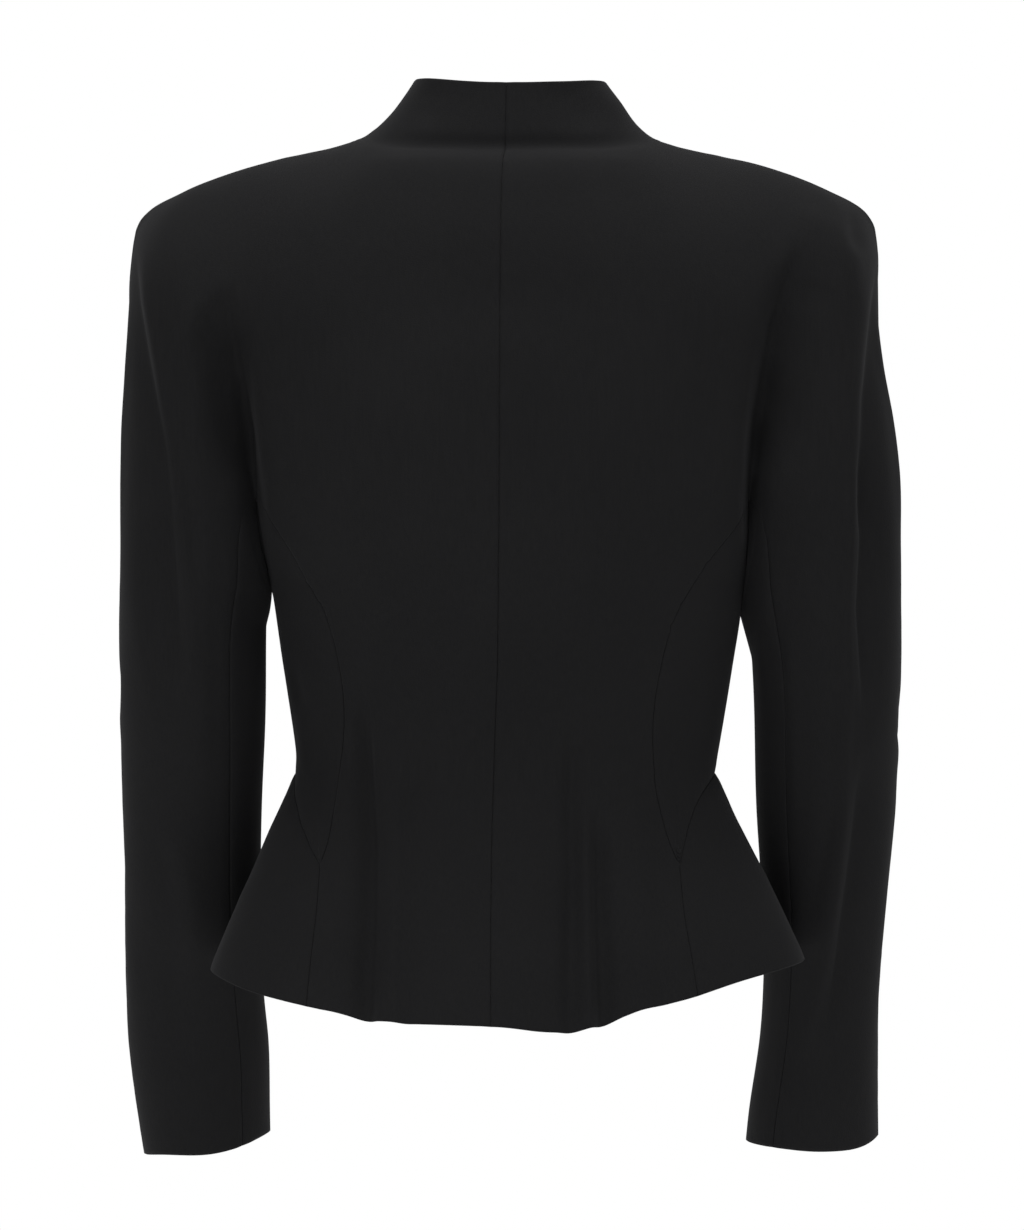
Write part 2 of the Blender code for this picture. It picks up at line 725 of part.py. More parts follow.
def make_piece(toile, name):
    """Closed solid of one piece: outer face, inner face and the cut edge between."""
    index = toile.names.index(name)
    faces = [face for face in toile.mesh.faces if face[toile.tag] == index]
    chosen = set(faces)
    solid = bmesh.new()
    outer = {}
    inner = {}
    for vert in sorted({v for face in faces for v in face.verts}, key=lambda v: v.index):
        normal, step = wall_normal(vert, toile.tag, index)
        shared = normal.dot(vert.normal) > SAME_DOT
        around = [face for face in vert.link_faces if shared or face in chosen]
        place = vert.co + step + seam_shift(vert, normal, chosen)
        outer[vert] = solid.verts.new(place)
        inner[vert] = solid.verts.new(place - normal * wall_depth(normal, around))
    for face in faces:
        solid.faces.new([outer[v] for v in face.verts])
        solid.faces.new([inner[v] for v in reversed(face.verts)])
        for loop in face.loops:
            edge = loop.edge
            if sum(1 for other in edge.link_faces if other in chosen) == 1:
                a = loop.vert
                b = loop.link_loop_next.vert
                solid.faces.new([outer[b], outer[a], inner[a], inner[b]])
    bmesh.ops.triangulate(solid, faces=solid.faces[:], quad_method="SHORT_EDGE")
    mesh = bpy.data.meshes.new(name)
    solid.to_mesh(mesh)
    solid.free()
    mesh.shade_smooth()
    piece = bpy.data.objects.new(name, mesh)
    bpy.context.scene.collection.objects.link(piece)
    piece.data.materials.append(crepe(name))
    return piece


def crepe(name):
    """Matt black wool crepe."""
    material = bpy.data.materials.new(name + "_crepe")
    material.use_nodes = True
    shader = material.node_tree.nodes["Principled BSDF"]
    shader.inputs["Base Color"].default_value = CREPE_BLACK
    shader.inputs["Roughness"].default_value = CREPE_ROUGHNESS
    shader.inputs["Metallic"].default_value = 0.0
    return material


for old in list(bpy.data.objects):
    bpy.data.objects.remove(old, do_unlink=True)

whole = build_toile()
for piece_name in whole.names:
    make_piece(whole, piece_name)
whole.mesh.free()
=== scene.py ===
"""A black wool crepe jacket with a grown-on collar and a flared peplum, worn form, hollow.

The script follows the making: the ten cut panels are sewn into one shell, its folds are
laid, its seams pressed, and the panels then get their thickness and their cloth.
Lengths are in millimetres and turned into metres at the mesh. +Z is up, the front faces
-Y and the wearer's left is +X, as in the frame.
"""

import math

import bmesh
import bpy
import numpy as np
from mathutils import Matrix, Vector, noise
from mathutils.kdtree import KDTree


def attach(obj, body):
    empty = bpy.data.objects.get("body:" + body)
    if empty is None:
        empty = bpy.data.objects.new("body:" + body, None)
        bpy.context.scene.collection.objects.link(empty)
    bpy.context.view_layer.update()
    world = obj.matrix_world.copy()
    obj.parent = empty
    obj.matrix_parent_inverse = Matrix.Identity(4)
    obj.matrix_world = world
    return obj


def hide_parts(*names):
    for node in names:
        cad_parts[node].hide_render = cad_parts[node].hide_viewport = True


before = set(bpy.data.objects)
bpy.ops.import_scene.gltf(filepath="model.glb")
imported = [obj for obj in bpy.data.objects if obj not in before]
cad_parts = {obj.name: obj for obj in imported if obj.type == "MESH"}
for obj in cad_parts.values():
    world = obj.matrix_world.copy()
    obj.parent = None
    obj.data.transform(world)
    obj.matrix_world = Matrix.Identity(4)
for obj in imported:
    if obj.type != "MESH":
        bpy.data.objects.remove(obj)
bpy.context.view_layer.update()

# The sewn shell. Ten panels of wool crepe, five a side, are sewn with plain seams:
# backs and fronts with collar and upper sleeve cut in one, panels under the arms,
# under sleeves and hip gores. The outer face of each comes from its solid.
MM = 0.001
SIDES = (("left", 1.0), ("right", -1.0))
SAME_POINT = 0.01
SEAM_WELD = 0.9
RIM_ANGLE = math.radians(32.0)
FLAT_ANGLE = math.radians(40.0)
SMOOTHING = 3

# Which way the outer face of each panel looks, for the wearer's left
OUTWARD = {
    "back": (0.0, 1.0, 0.0),
    "front": (0.0, -1.0, 0.0),
    "side_panel": (1.0, 0.0, 0.0),
    "under_sleeve": (-1.0, 0.0, 0.0),
    "hip_godet": (1.0, 0.0, 0.0),
}


def outer_face(node, outward):
    """A copy of the outer side of a node's wall, up to its rim, as quads."""
    panel = bmesh.new()
    panel.from_mesh(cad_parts[node].data)
    bmesh.ops.remove_doubles(panel, verts=panel.verts[:], dist=SAME_POINT * MM)
    panel.normal_update()
    seed = max(panel.faces, key=lambda face: face.normal.dot(outward) * face.calc_area())
    kept = {seed}
    newest = [seed]
    while newest:
        face = newest.pop()
        for edge in face.edges:
            if edge.calc_face_angle_signed(0.0) > RIM_ANGLE:
                continue
            for other in edge.link_faces:
                if other not in kept:
                    kept.add(other)
                    newest.append(other)
    rest = [face for face in panel.faces if face not in kept]
    bmesh.ops.delete(panel, geom=rest, context="FACES")
    bmesh.ops.join_triangles(
        panel, faces=panel.faces[:], angle_face_threshold=FLAT_ANGLE, angle_shape_threshold=math.pi)
    return panel


shell = bmesh.new()
panel_of = shell.faces.layers.int.new("panel")
panel_names = []
for side_name, side in SIDES:
    for kind, (x, y, z) in OUTWARD.items():
        name = kind + "_" + side_name
        panel = outer_face(name, Vector((x * side, y, z)))
        carrier = bpy.data.meshes.new(name + "_cut")
        panel.to_mesh(carrier)
        panel.free()
        before = len(shell.faces)
        shell.from_mesh(carrier)
        bpy.data.meshes.remove(carrier)
        shell.faces.ensure_lookup_table()
        for face in shell.faces[before:]:
            face[panel_of] = len(panel_names)
        panel_names.append(name)

bmesh.ops.remove_doubles(shell, verts=shell.verts[:], dist=SEAM_WELD * MM)
shell.normal_update()

seamless = bpy.data.meshes.new("shell_cage")
shell.to_mesh(seamless)
shell.free()
cage = bpy.data.objects.new("shell_cage", seamless)
bpy.context.scene.collection.objects.link(cage)
rounding = cage.modifiers.new("rounding", "SUBSURF")
rounding.levels = rounding.render_levels = SMOOTHING
rounding.boundary_smooth = "PRESERVE_CORNERS"
bpy.context.view_layer.update()
rounded = cage.evaluated_get(bpy.context.evaluated_depsgraph_get())
cloth = bpy.data.meshes.new_from_object(rounded)
bpy.data.objects.remove(cage)
bpy.data.meshes.remove(seamless)


def read(block, name, width, kind=np.float32):
    """One property of a mesh's points, edges, faces or corners, as an array."""
    values = np.empty(len(block) * width, kind)
    block.foreach_get(name, values)
    return values.reshape(-1, width) if width > 1 else values


def places():
    """Every point of the shell, in millimetres."""
    return read(cloth.vertices, "co", 3).astype(float) / MM


def directions():
    """The outward direction at every point."""
    return read(cloth.vertex_normals, "vector", 3).astype(float)


def put(at):
    """Put every point of the shell at a place given in millimetres."""
    cloth.vertices.foreach_set("co", (at * MM).astype(np.float32).ravel())
    cloth.update()


def smooth_step(values):
    """Ease from 0 to 1."""
    values = np.clip(values, 0.0, 1.0)
    return values * values * (3.0 - 2.0 * values)


# Where the sleeve starts beside the body, from the underarm up: level, distance out.
# Every point then has a share, from 0 on the body to 1 on the sleeve.
ARMHOLE_LINE = ((-270.0, 142.0), (-230.0, 144.0), (-205.0, 147.0), (-130.0, 153.0), (-95.0, 160.0))
ARMHOLE_SOFTNESS = 16.0

face_panel = read(cloth.attributes["panel"].data, "value", 1, np.int32)
corner_point = read(cloth.loops, "vertex_index", 1, np.int32)
corner_edge = read(cloth.loops, "edge_index", 1, np.int32)
edge_ends = read(cloth.edges, "vertices", 2, np.int32)
corner_panel = np.repeat(face_panel, read(cloth.polygons, "loop_total", 1, np.int32))
panel_of_point = np.zeros(len(cloth.vertices), np.int32)
panel_of_point[corner_point] = corner_panel
under_sleeves = [i for i, name in enumerate(panel_names) if name.startswith("under_sleeve")]
wide_panels = [i for i, name in enumerate(panel_names) if name.startswith(("back", "front"))]
smooth_shape = places()
armhole = np.interp(smooth_shape[:, 2], *np.transpose(ARMHOLE_LINE))
sleeve_share = smooth_step(0.5 + (np.abs(smooth_shape[:, 0]) - armhole) / ARMHOLE_SOFTNESS)
sleeve_share *= np.isin(panel_of_point, wide_panels)
sleeve_share[np.isin(panel_of_point, under_sleeves)] = 1.0

# The underarms. Below the crotch each sleeve hangs against the body. Its inner side is
# brought up to the side panel, so the two look joined down to where the white shows between.
# Level, where the body's side is, and the share by which the sleeve comes nearer to it
UNDERARM = {
    "left": ((-282.0, 136.0, 0.0), (-258.0, 141.5, 0.70), (-235.0, 147.0, 0.55),
             (-205.0, 149.5, 0.30), (-165.0, 151.0, 0.0)),
    "right": ((-302.0, 134.0, 0.0), (-274.0, 137.5, 0.75), (-255.0, 140.5, 0.70),
              (-235.0, 142.5, 0.50), (-205.0, 143.5, 0.25), (-165.0, 146.0, 0.0)),
}
INNER_SIDE_WIDTH = 8.0
INNER_SIDE_FADE = 36.0

at = places()
for side_name, side in SIDES:
    levels, body_sides, shares = np.transpose(UNDERARM[side_name])
    x = at[:, 0] * side
    beyond = x - np.interp(at[:, 2], levels, body_sides)
    step = np.interp(at[:, 2], levels, shares) * np.clip(beyond, 0.0, INNER_SIDE_WIDTH)
    step *= 1.0 - smooth_step((beyond - INNER_SIDE_WIDTH) / INNER_SIDE_FADE)
    at[:, 0] -= side * step * sleeve_share * (x > 0.0)
put(at)

# A fold fades at each end over a length or a share of its own. It lies only where the
# cloth faces its way, and reaches out to a few times its width.
FOLD_END = 45.0
FOLD_END_SHARE = 0.4
FACING_FROM = -0.15
FACING_FULL = 0.35
NEAR = 3.0


def press(folds):
    """Press a table of soft folds into the shell.

    Each row: face, side ("middle" crosses the centre), part, depth inward (a ridge's is
    negative), half widths towards the middle and away from it, then the line from the top
    down as (u, z) points. u counts outwards from the middle, on the face "side" backwards.
    """
    at = places()
    out = directions()
    steps = np.zeros(len(at))
    for face, side, part, depth, inner, outer, *line in folds:
        sign = -1.0 if side == "right" else 1.0
        if face == "side":
            u = at[:, 1]
            facing = out[:, 0] * sign
        else:
            u = at[:, 0] * sign
            facing = out[:, 1] if face == "back" else -out[:, 1]
        z = at[:, 2]
        weight = smooth_step((facing - FACING_FROM) / (FACING_FULL - FACING_FROM))
        if side != "middle":
            weight = weight * (at[:, 0] * sign > -outer)
        if part == "sleeve":
            weight = weight * sleeve_share
        elif part == "body":
            weight = weight * (1.0 - sleeve_share)
        reach = NEAR * max(inner, outer)
        line_u, line_z = np.transpose(line)
        near = (weight > 0.0) & (z < line_z.max() + reach) & (z > line_z.min() - reach)
        near &= (u < line_u.max() + reach) & (u > line_u.min() - reach)
        index = np.nonzero(near)[0]
        nearest = np.full(len(index), np.inf)
        across = np.zeros(len(index))
        along = np.zeros(len(index))
        run = 0.0
        for (from_u, from_z), (to_u, to_z) in zip(line, line[1:]):
            du, dz = to_u - from_u, to_z - from_z
            length = math.hypot(du, dz)
            share = ((u[index] - from_u) * du + (z[index] - from_z) * dz) / length ** 2
            share = np.clip(share, 0.0, 1.0)
            gap_u = u[index] - from_u - share * du
            gap_z = z[index] - from_z - share * dz
            gap = np.hypot(gap_u, gap_z)
            closer = gap < nearest
            nearest = np.where(closer, gap, nearest)
            across = np.where(closer, gap_z * du - gap_u * dz, across)
            along = np.where(closer, run + share * length, along)
            run += length
        width = np.where(across > 0.0, outer, inner)
        end = min(FOLD_END, FOLD_END_SHARE * run)
        fade = smooth_step(along / end) * smooth_step((run - along) / end)
        steps[index] -= depth * fade * weight[index] * np.exp(-(nearest / width) ** 2)
    put(at + out * steps[:, None])


def ease(places_and_moves):
    """Move the cloth round some places: place, how far it reaches, and the move."""
    at = places()
    steps = np.zeros(at.shape)
    for place, reach, step in places_and_moves:
        gap = np.linalg.norm((at - place) / reach, axis=1)
        steps += np.exp(-gap ** 2)[:, None] * step
    put(at + steps)


# The backs. They lie smooth over the shoulder blades, and ease into the armholes in a
# deep soft fold on each side, higher and wider on the right, beside a low ridge. A few
# shallow hollows run down to the waist, where a short fold pulls in over the left hip.
press((
    ("back", "left", "both", 9.0, 4.0, 15.0, (167, -78), (164, -105), (160, -135), (156, -165),
     (152, -205)),
    ("back", "left", "sleeve", 1.0, 5.0, 5.0, (204, -86), (198, -105), (191, -130), (187, -165)),
    ("back", "left", "sleeve", 1.0, 7.0, 9.0, (154, -205), (152, -250), (154, -300), (156, -380)),
    ("back", "left", "sleeve", -1.8, 7.0, 7.0, (198, -150), (192, -118), (180, -96), (166, -84),
     (152, -100)),
    ("back", "left", "body", -2.4, 16.0, 4.0, (151, -98), (148, -132), (144, -175), (139, -205),
     (135, -250)),
    ("back", "right", "both", 10.0, 5.0, 26.0, (178, -50), (166, -76), (157, -108), (151, -148),
     (146, -198)),
    ("back", "right", "sleeve", -1.3, 3.5, 9.0, (151, -225), (151, -280), (154, -350)),
    ("back", "right", "sleeve", -1.6, 8.0, 8.0, (205, -110), (201, -66), (190, -48), (173, -42),
     (155, -62)),
    ("back", "right", "body", -2.4, 17.0, 4.0, (153, -62), (144, -98), (139, -135), (135, -175),
     (135, -255)),
    ("back", "left", "body", 1.0, 11.0, 12.0, (75, -60), (73, -105), (70, -160), (65, -220), (66, -320)),
    ("back", "left", "body", -0.8, 9.0, 9.0, (102, -95), (97, -150), (93, -210), (88, -320)),
    ("back", "left", "body", -0.5, 7.0, 7.0, (47, -110), (49, -180), (46, -280)),
    ("back", "right", "body", 1.0, 14.0, 11.0, (50, -90), (66, -165), (88, -225), (106, -300)),
    ("back", "right", "body", -0.7, 10.0, 10.0, (28, -130), (42, -220), (60, -320)),
    ("back", "right", "body", 0.7, 8.0, 8.0, (103, -70), (110, -120), (108, -190)),
    ("back", "right", "body", 1.4, 9.0, 9.0, (116, -270), (110, -320), (98, -375)),
    ("back", "left", "body", 1.7, 5.0, 5.0, (130, -296), (128, -312), (124, -330), (120, -345)),
    ("back", "left", "body", -1.5, 4.0, 5.0, (125, -322), (122, -340), (121, -356), (124, -372)),
))

ease((
    ((157.0, 62.0, -116.0), (5.5, 22.0, 16.0), (0.0, -5.0, 0.0)),
    ((154.0, 54.0, -146.0), (5.5, 22.0, 18.0), (0.0, -8.0, 0.0)),
    ((151.5, 46.0, -176.0), (5.0, 22.0, 20.0), (0.0, -10.0, 0.0)),
    ((149.5, 38.0, -206.0), (5.0, 20.0, 18.0), (0.0, -9.0, 0.0)),
    ((-155.0, 62.0, -102.0), (9.0, 22.0, 18.0), (0.0, -5.0, 0.0)),
    ((-151.0, 55.0, -138.0), (8.0, 22.0, 20.0), (0.0, -10.0, 0.0)),
    ((-146.5, 47.0, -172.0), (6.5, 22.0, 20.0), (0.0, -13.0, 0.0)),
    ((-143.5, 40.0, -206.0), (5.0, 20.0, 18.0), (0.0, -11.0, 0.0)),
))

# The peplum of the backs flares in loose flutes that start under the waist and run to
# the hem. The sharpest ridge hangs right of the middle, where the hem dips.
press((
    ("back", "left", "body", 6.0, 5.0, 6.5, (86, -310), (84, -360), (80, -412), (80, -460), (84, -570)),
    ("back", "left", "body", -1.6, 6.0, 5.0, (68, -340), (66, -410), (66, -470), (68, -570)),
    ("back", "left", "body", 1.2, 4.5, 4.5, (56, -345), (58, -400), (59, -470), (58, -560)),
    ("back", "left", "body", -1.4, 7.0, 6.0, (98, -350), (96, -410), (99, -470), (104, -570)),
    ("back", "right", "body", 3.8, 5.5, 6.5, (39, -330), (37, -380), (38, -425), (36, -480), (36, -570)),
    ("back", "right", "body", -2.5, 5.0, 4.0, (45, -370), (45, -430), (46, -480), (48, -580)),
    ("back", "right", "body", 4.8, 4.0, 6.5, (53, -375), (53, -430), (54, -470), (57, -600)),
    ("back", "right", "body", -1.3, 5.0, 8.0, (72, -355), (74, -400), (75, -450), (78, -570)),
    ("back", "right", "body", 1.2, 6.0, 6.0, (90, -365), (88, -430), (91, -570)),
))

# The sleeves. Each hangs in one long crisp fold on its outer side, where the shoulder pad
# lets the cloth fall free, and creases again at the elbow. The right shoulder tip dimples.
press((
    ("back", "left", "sleeve", -1.9, 5.0, 2.8, (216, -50), (212, -90), (207, -119), (201, -149),
     (196, -173), (193, -196), (190, -244), (188, -279), (187, -330)),
    ("back", "left", "sleeve", 3.0, 3.0, 8.0, (224, -45), (220, -90), (215, -119), (209, -149),
     (204, -173), (201, -196), (198, -244), (196, -279), (195, -335)),
    ("back", "left", "sleeve", 1.7, 6.0, 4.5, (203, -80), (199, -108), (197, -149), (191, -190),
     (186, -231), (184, -275)),
    ("back", "left", "sleeve", -1.1, 7.0, 7.0, (196, -45), (191, -85), (187, -112), (183, -150),
     (180, -215)),
    ("back", "left", "sleeve", -1.0, 6.0, 6.0, (222, -255), (215, -297), (208, -350)),
    ("back", "left", "sleeve", -1.0, 5.0, 10.0, (179, -215), (180, -290), (181, -380)),
    ("back", "left", "sleeve", 1.5, 7.0, 8.0, (214, -390), (207, -430), (203, -480), (204, -540)),
    ("back", "left", "sleeve", -1.0, 8.0, 6.0, (196, -400), (190, -450), (191, -520)),
    ("back", "right", "sleeve", 1.4, 5.0, 4.5, (204, -32), (205, -47), (206, -66)),
    ("back", "right", "sleeve", -1.2, 6.0, 3.2, (214, -55), (212, -83), (209, -107), (204, -148),
     (202, -190), (202, -235)),
    ("back", "right", "sleeve", 3.2, 3.2, 8.0, (223, -55), (220, -83), (217, -107), (212, -148),
     (210, -190), (210, -235)),
    ("back", "right", "sleeve", -2.3, 6.0, 2.8, (202, -175), (202, -231), (200, -273), (202, -315),
     (201, -357), (200, -385)),
    ("back", "right", "sleeve", 4.4, 3.0, 9.0, (210, -170), (211, -231), (209, -273), (212, -315),
     (212, -350)),
    ("back", "right", "sleeve", -0.9, 4.0, 5.0, (167, -262), (168, -320), (170, -365), (173, -415)),
    ("back", "right", "sleeve", -2.0, 6.0, 3.0, (202, -345), (201, -399), (198, -441), (193, -484),
     (186, -520), (178, -560)),
    ("back", "right", "sleeve", 3.6, 3.2, 7.0, (212, -350), (210, -399), (206, -441), (201, -484),
     (193, -540)),
    ("back", "right", "sleeve", 1.1, 7.0, 5.0, (199, -370), (191, -410), (183, -455), (178, -490)),
))

# The collar. It stands close round the nape over a narrow ledge, a little hollow on each
# side of its seam, and its top corners are drawn in.
press((
    ("back", "middle", "body", 1.8, 3.5, 5.0, (-92, 5), (-70, 3), (-35, 1), (0, 0), (35, 1), (70, 3),
     (92, 5)),
    ("back", "middle", "body", -2.6, 14.0, 7.0, (-98, -9), (-60, -12), (0, -14), (60, -12), (98, -9)),
    ("back", "left", "body", 1.2, 9.0, 9.0, (44, 46), (46, 28), (50, 8)),
    ("back", "right", "body", 1.4, 12.0, 10.0, (28, 46), (40, 26), (56, 6)),
    ("back", "left", "body", 0.8, 5.0, 4.0, (78, 26), (84, 14), (92, 6)),
))
ease((
    ((-62.0, 10.0, 29.0), (14.0, 30.0, 13.0), (-3.6, 0.0, 0.0)),
    ((64.0, 10.0, 36.0), (12.0, 30.0, 10.0), (1.6, 0.0, -0.8)),
))

# The fronts, hidden in the photograph. They close edge to edge and hang much as the
# backs do: a fold at each armhole, breaks from the bust and loose flutes in the peplum.
press((
    ("front", "left", "both", 7.0, 4.0, 14.0, (170, -70), (164, -105), (158, -145), (152, -200)),
    ("front", "right", "both", 7.0, 4.5, 16.0, (172, -60), (162, -95), (155, -140), (148, -195)),
    ("front", "left", "body", 1.4, 9.0, 8.0, (128, -88), (112, -130), (92, -168), (78, -190)),
    ("front", "left", "body", -1.0, 8.0, 8.0, (112, -80), (96, -122), (76, -158)),
    ("front", "left", "body", 1.3, 7.0, 8.0, (96, -232), (88, -270), (76, -310), (70, -345)),
    ("front", "right", "body", 1.5, 8.0, 9.0, (132, -82), (118, -120), (100, -155), (84, -182)),
    ("front", "right", "body", 1.1, 8.0, 8.0, (90, -225), (80, -275), (74, -330)),
    ("front", "right", "body", -0.9, 7.0, 7.0, (108, -240), (98, -285), (90, -335)),
    ("front", "left", "body", 4.2, 6.0, 7.0, (62, -330), (65, -380), (68, -430), (73, -570)),
    ("front", "left", "body", -1.4, 6.0, 6.0, (48, -350), (50, -410), (54, -570)),
    ("front", "left", "body", 2.2, 5.0, 6.0, (96, -350), (100, -410), (107, -570)),
    ("front", "right", "body", 4.8, 6.5, 7.0, (70, -325), (73, -380), (77, -435), (84, -575)),
    ("front", "right", "body", -1.5, 6.0, 5.0, (56, -345), (58, -410), (62, -570)),
    ("front", "right", "body", 2.4, 5.0, 5.0, (36, -360), (37, -420), (39, -565)),
))
ease((
    ((155.0, -61.0, -128.0), (6.0, 20.0, 18.0), (0.0, 5.0, 0.0)),
    ((151.0, -56.0, -165.0), (5.5, 20.0, 20.0), (0.0, 8.0, 0.0)),
    ((149.5, -48.0, -204.0), (5.0, 18.0, 18.0), (0.0, 8.0, 0.0)),
    ((-151.0, -60.0, -120.0), (6.0, 20.0, 18.0), (0.0, 5.0, 0.0)),
    ((-147.0, -53.0, -162.0), (5.5, 20.0, 20.0), (0.0, 8.0, 0.0)),
    ((-143.5, -46.0, -204.0), (5.0, 18.0, 18.0), (0.0, 8.0, 0.0)),
))
press((
    ("front", "left", "sleeve", 2.6, 5.0, 8.0, (221, -70), (214, -120), (206, -180), (201, -250),
     (198, -320)),
    ("front", "left", "sleeve", -1.5, 6.0, 4.0, (211, -80), (205, -130), (197, -185), (193, -250),
     (190, -310)),
    ("front", "left", "sleeve", 2.2, 6.0, 6.0, (216, -300), (204, -322), (190, -338), (178, -346)),
    ("front", "left", "sleeve", 1.8, 6.0, 6.0, (212, -336), (201, -356), (190, -372), (180, -380)),
    ("front", "left", "sleeve", -1.2, 5.0, 5.0, (215, -320), (202, -341), (188, -356)),
    ("front", "left", "sleeve", 1.6, 7.0, 7.0, (182, -400), (189, -450), (199, -505), (204, -550)),
    ("front", "right", "sleeve", 2.9, 5.0, 8.0, (220, -65), (215, -115), (210, -175), (206, -250),
     (205, -310)),
    ("front", "right", "sleeve", -1.4, 6.0, 4.0, (210, -75), (206, -125), (200, -180), (196, -255)),
    ("front", "right", "sleeve", 2.4, 6.0, 6.0, (220, -312), (208, -334), (194, -350), (180, -356)),
    ("front", "right", "sleeve", 1.7, 6.0, 6.0, (216, -350), (204, -368), (192, -382), (184, -390)),
    ("front", "right", "sleeve", -1.2, 5.0, 5.0, (218, -332), (205, -352), (190, -366)),
    ("front", "right", "sleeve", 1.8, 7.0, 7.0, (185, -410), (191, -460), (198, -515), (200, -560)),
))

# The sides. The sleeves turn forward at the elbow, and their outer sides crease there;
# the hip gores swing out in one loose wave each.
press((
    ("side", "left", "sleeve", 2.0, 8.0, 7.0, (6, -70), (4, -130), (-2, -200), (-8, -270)),
    ("side", "left", "sleeve", -1.2, 7.0, 7.0, (22, -90), (18, -160), (12, -240)),
    ("side", "left", "sleeve", 1.8, 7.0, 7.0, (2, -300), (-14, -330), (-32, -348), (-48, -356)),
    ("side", "left", "sleeve", 1.5, 8.0, 8.0, (-30, -390), (-46, -440), (-64, -490), (-78, -540)),
    ("side", "right", "sleeve", 2.2, 8.0, 7.0, (2, -60), (2, -125), (-4, -195), (-6, -280)),
    ("side", "right", "sleeve", -1.2, 7.0, 7.0, (18, -80), (15, -150), (12, -235)),
    ("side", "right", "sleeve", 1.9, 7.0, 7.0, (4, -316), (-12, -344), (-30, -362), (-46, -368)),
    ("side", "right", "sleeve", 1.4, 8.0, 8.0, (-36, -400), (-52, -450), (-70, -510), (-82, -550)),
    ("side", "left", "body", 1.8, 8.0, 8.0, (-24, -385), (-26, -420), (-30, -460), (-34, -520)),
    ("side", "right", "body", 2.0, 8.0, 8.0, (-30, -380), (-32, -420), (-35, -460), (-38, -520)),
    ("side", "left", "body", -1.0, 8.0, 8.0, (-4, -390), (-6, -430), (-8, -520)),
    ("side", "right", "body", -1.0, 8.0, 8.0, (-10, -385), (-12, -430), (-14, -520)),
))

# The crotches of the sleeves, where four panels meet, are eased until they lie smooth.
# The seams that run into them lie flat for a little further round, as under an arm.
CROTCHES = ((149.0, 0.0, -207.0), (-143.5, 0.0, -207.0))
CROTCH_REACH = (9.0, 60.0, 17.0)
CROTCH_PASSES = 24
CROTCH_PULL = 0.6
FLAT_SEAM_REACH = (14.0, 70.0, 26.0)
FLAT_SEAM_FULLNESS = 1.4


def nearness(at, reach):
    """How near each place is to a crotch, from 0 far off to 1 or more in it."""
    return sum(np.exp(-(((at - place) / reach) ** 2).sum(axis=1)) for place in CROTCHES)


at = places()
pull = CROTCH_PULL * np.minimum(nearness(at, CROTCH_REACH), 1.0)[:, None]
flat_seams = np.minimum(FLAT_SEAM_FULLNESS * nearness(at, FLAT_SEAM_REACH), 1.0)
links = np.bincount(edge_ends.ravel(), minlength=len(at))[:, None]
for _ in range(CROTCH_PASSES):
    total = np.zeros(at.shape)
    np.add.at(total, edge_ends[:, 0], at[edge_ends[:, 1]])
    np.add.at(total, edge_ends[:, 1], at[edge_ends[:, 0]])
    at += pull * (total / links - at)
put(at)

# The drape. Wool crepe never lies quite flat: broad, long swellings run down the cloth,
# with smaller ones between. Height, width, length and shift of each size
DRAPE = ((0.60, 58.0, 170.0, 3.0), (0.18, 20.0, 60.0, 11.0))

at = places()
steps = np.zeros(len(at))
for height, width, length, shift in DRAPE:
    for i, (x, y, z) in enumerate(at):
        steps[i] += height * noise.noise((x / width + shift, y / width, z / length))
put(at + directions() * steps[:, None])

# The seams. All are plain, pressed open inside: the cloth swells a little over the
# turnings, dips at the stitching and puckers here and there. The centre-back seam is
# the deepest. Neck, cuffs and hem are turned in over a soft fold.
SWELL = 0.22
SWELL_FROM_SEAM = 5.5
SWELL_WIDTH = 3.5
DIP = 0.22
DIP_WIDTH = 1.6
PUCKER = 0.22
PUCKER_LENGTH = 8.0
PUCKER_REACH = 6.0
SEAM_REACH = 20.0
TURN_AT_CENTRE = 0.75
TURN_AT_SEAM = 0.5
TURN_AT_EDGE = 0.5
JOIN_REACH = 5.0
SEAM_SMOOTHINGS = 60
NEIGHBOUR_SHARE = 0.25
SEAM_DRAG = 10.0
SEAM_SHIFT = 1.0

edges = len(cloth.edges)
lowest_panel = np.full(edges, len(panel_names))
highest_panel = np.full(edges, -1)
np.minimum.at(lowest_panel, corner_edge, corner_panel)
np.maximum.at(highest_panel, corner_edge, corner_panel)
faces_at_edge = np.bincount(corner_edge, minlength=edges)
seam_edges = lowest_panel != highest_panel
sides_apart = len(OUTWARD)
centre_edges = seam_edges & (highest_panel - lowest_panel == sides_apart)
open_edges = faces_at_edge == 1
turns = ((seam_edges, TURN_AT_SEAM), (centre_edges, TURN_AT_CENTRE), (open_edges, TURN_AT_EDGE))
edge_turn = np.zeros(len(cloth.vertices))
for chosen, turn in turns:
    edge_turn[edge_ends[chosen].ravel()] = turn
edge_turn *= 1.0 - flat_seams

# Where three panels meet in a point, their turnings lie flat
point_panels = np.unique(np.stack((corner_point, corner_panel)), axis=1)
at = places()
joins = at[np.bincount(point_panels[0], minlength=len(at)) > 2]
for join in joins:
    edge_turn *= smooth_step(np.linalg.norm(at - join, axis=1) / JOIN_REACH)

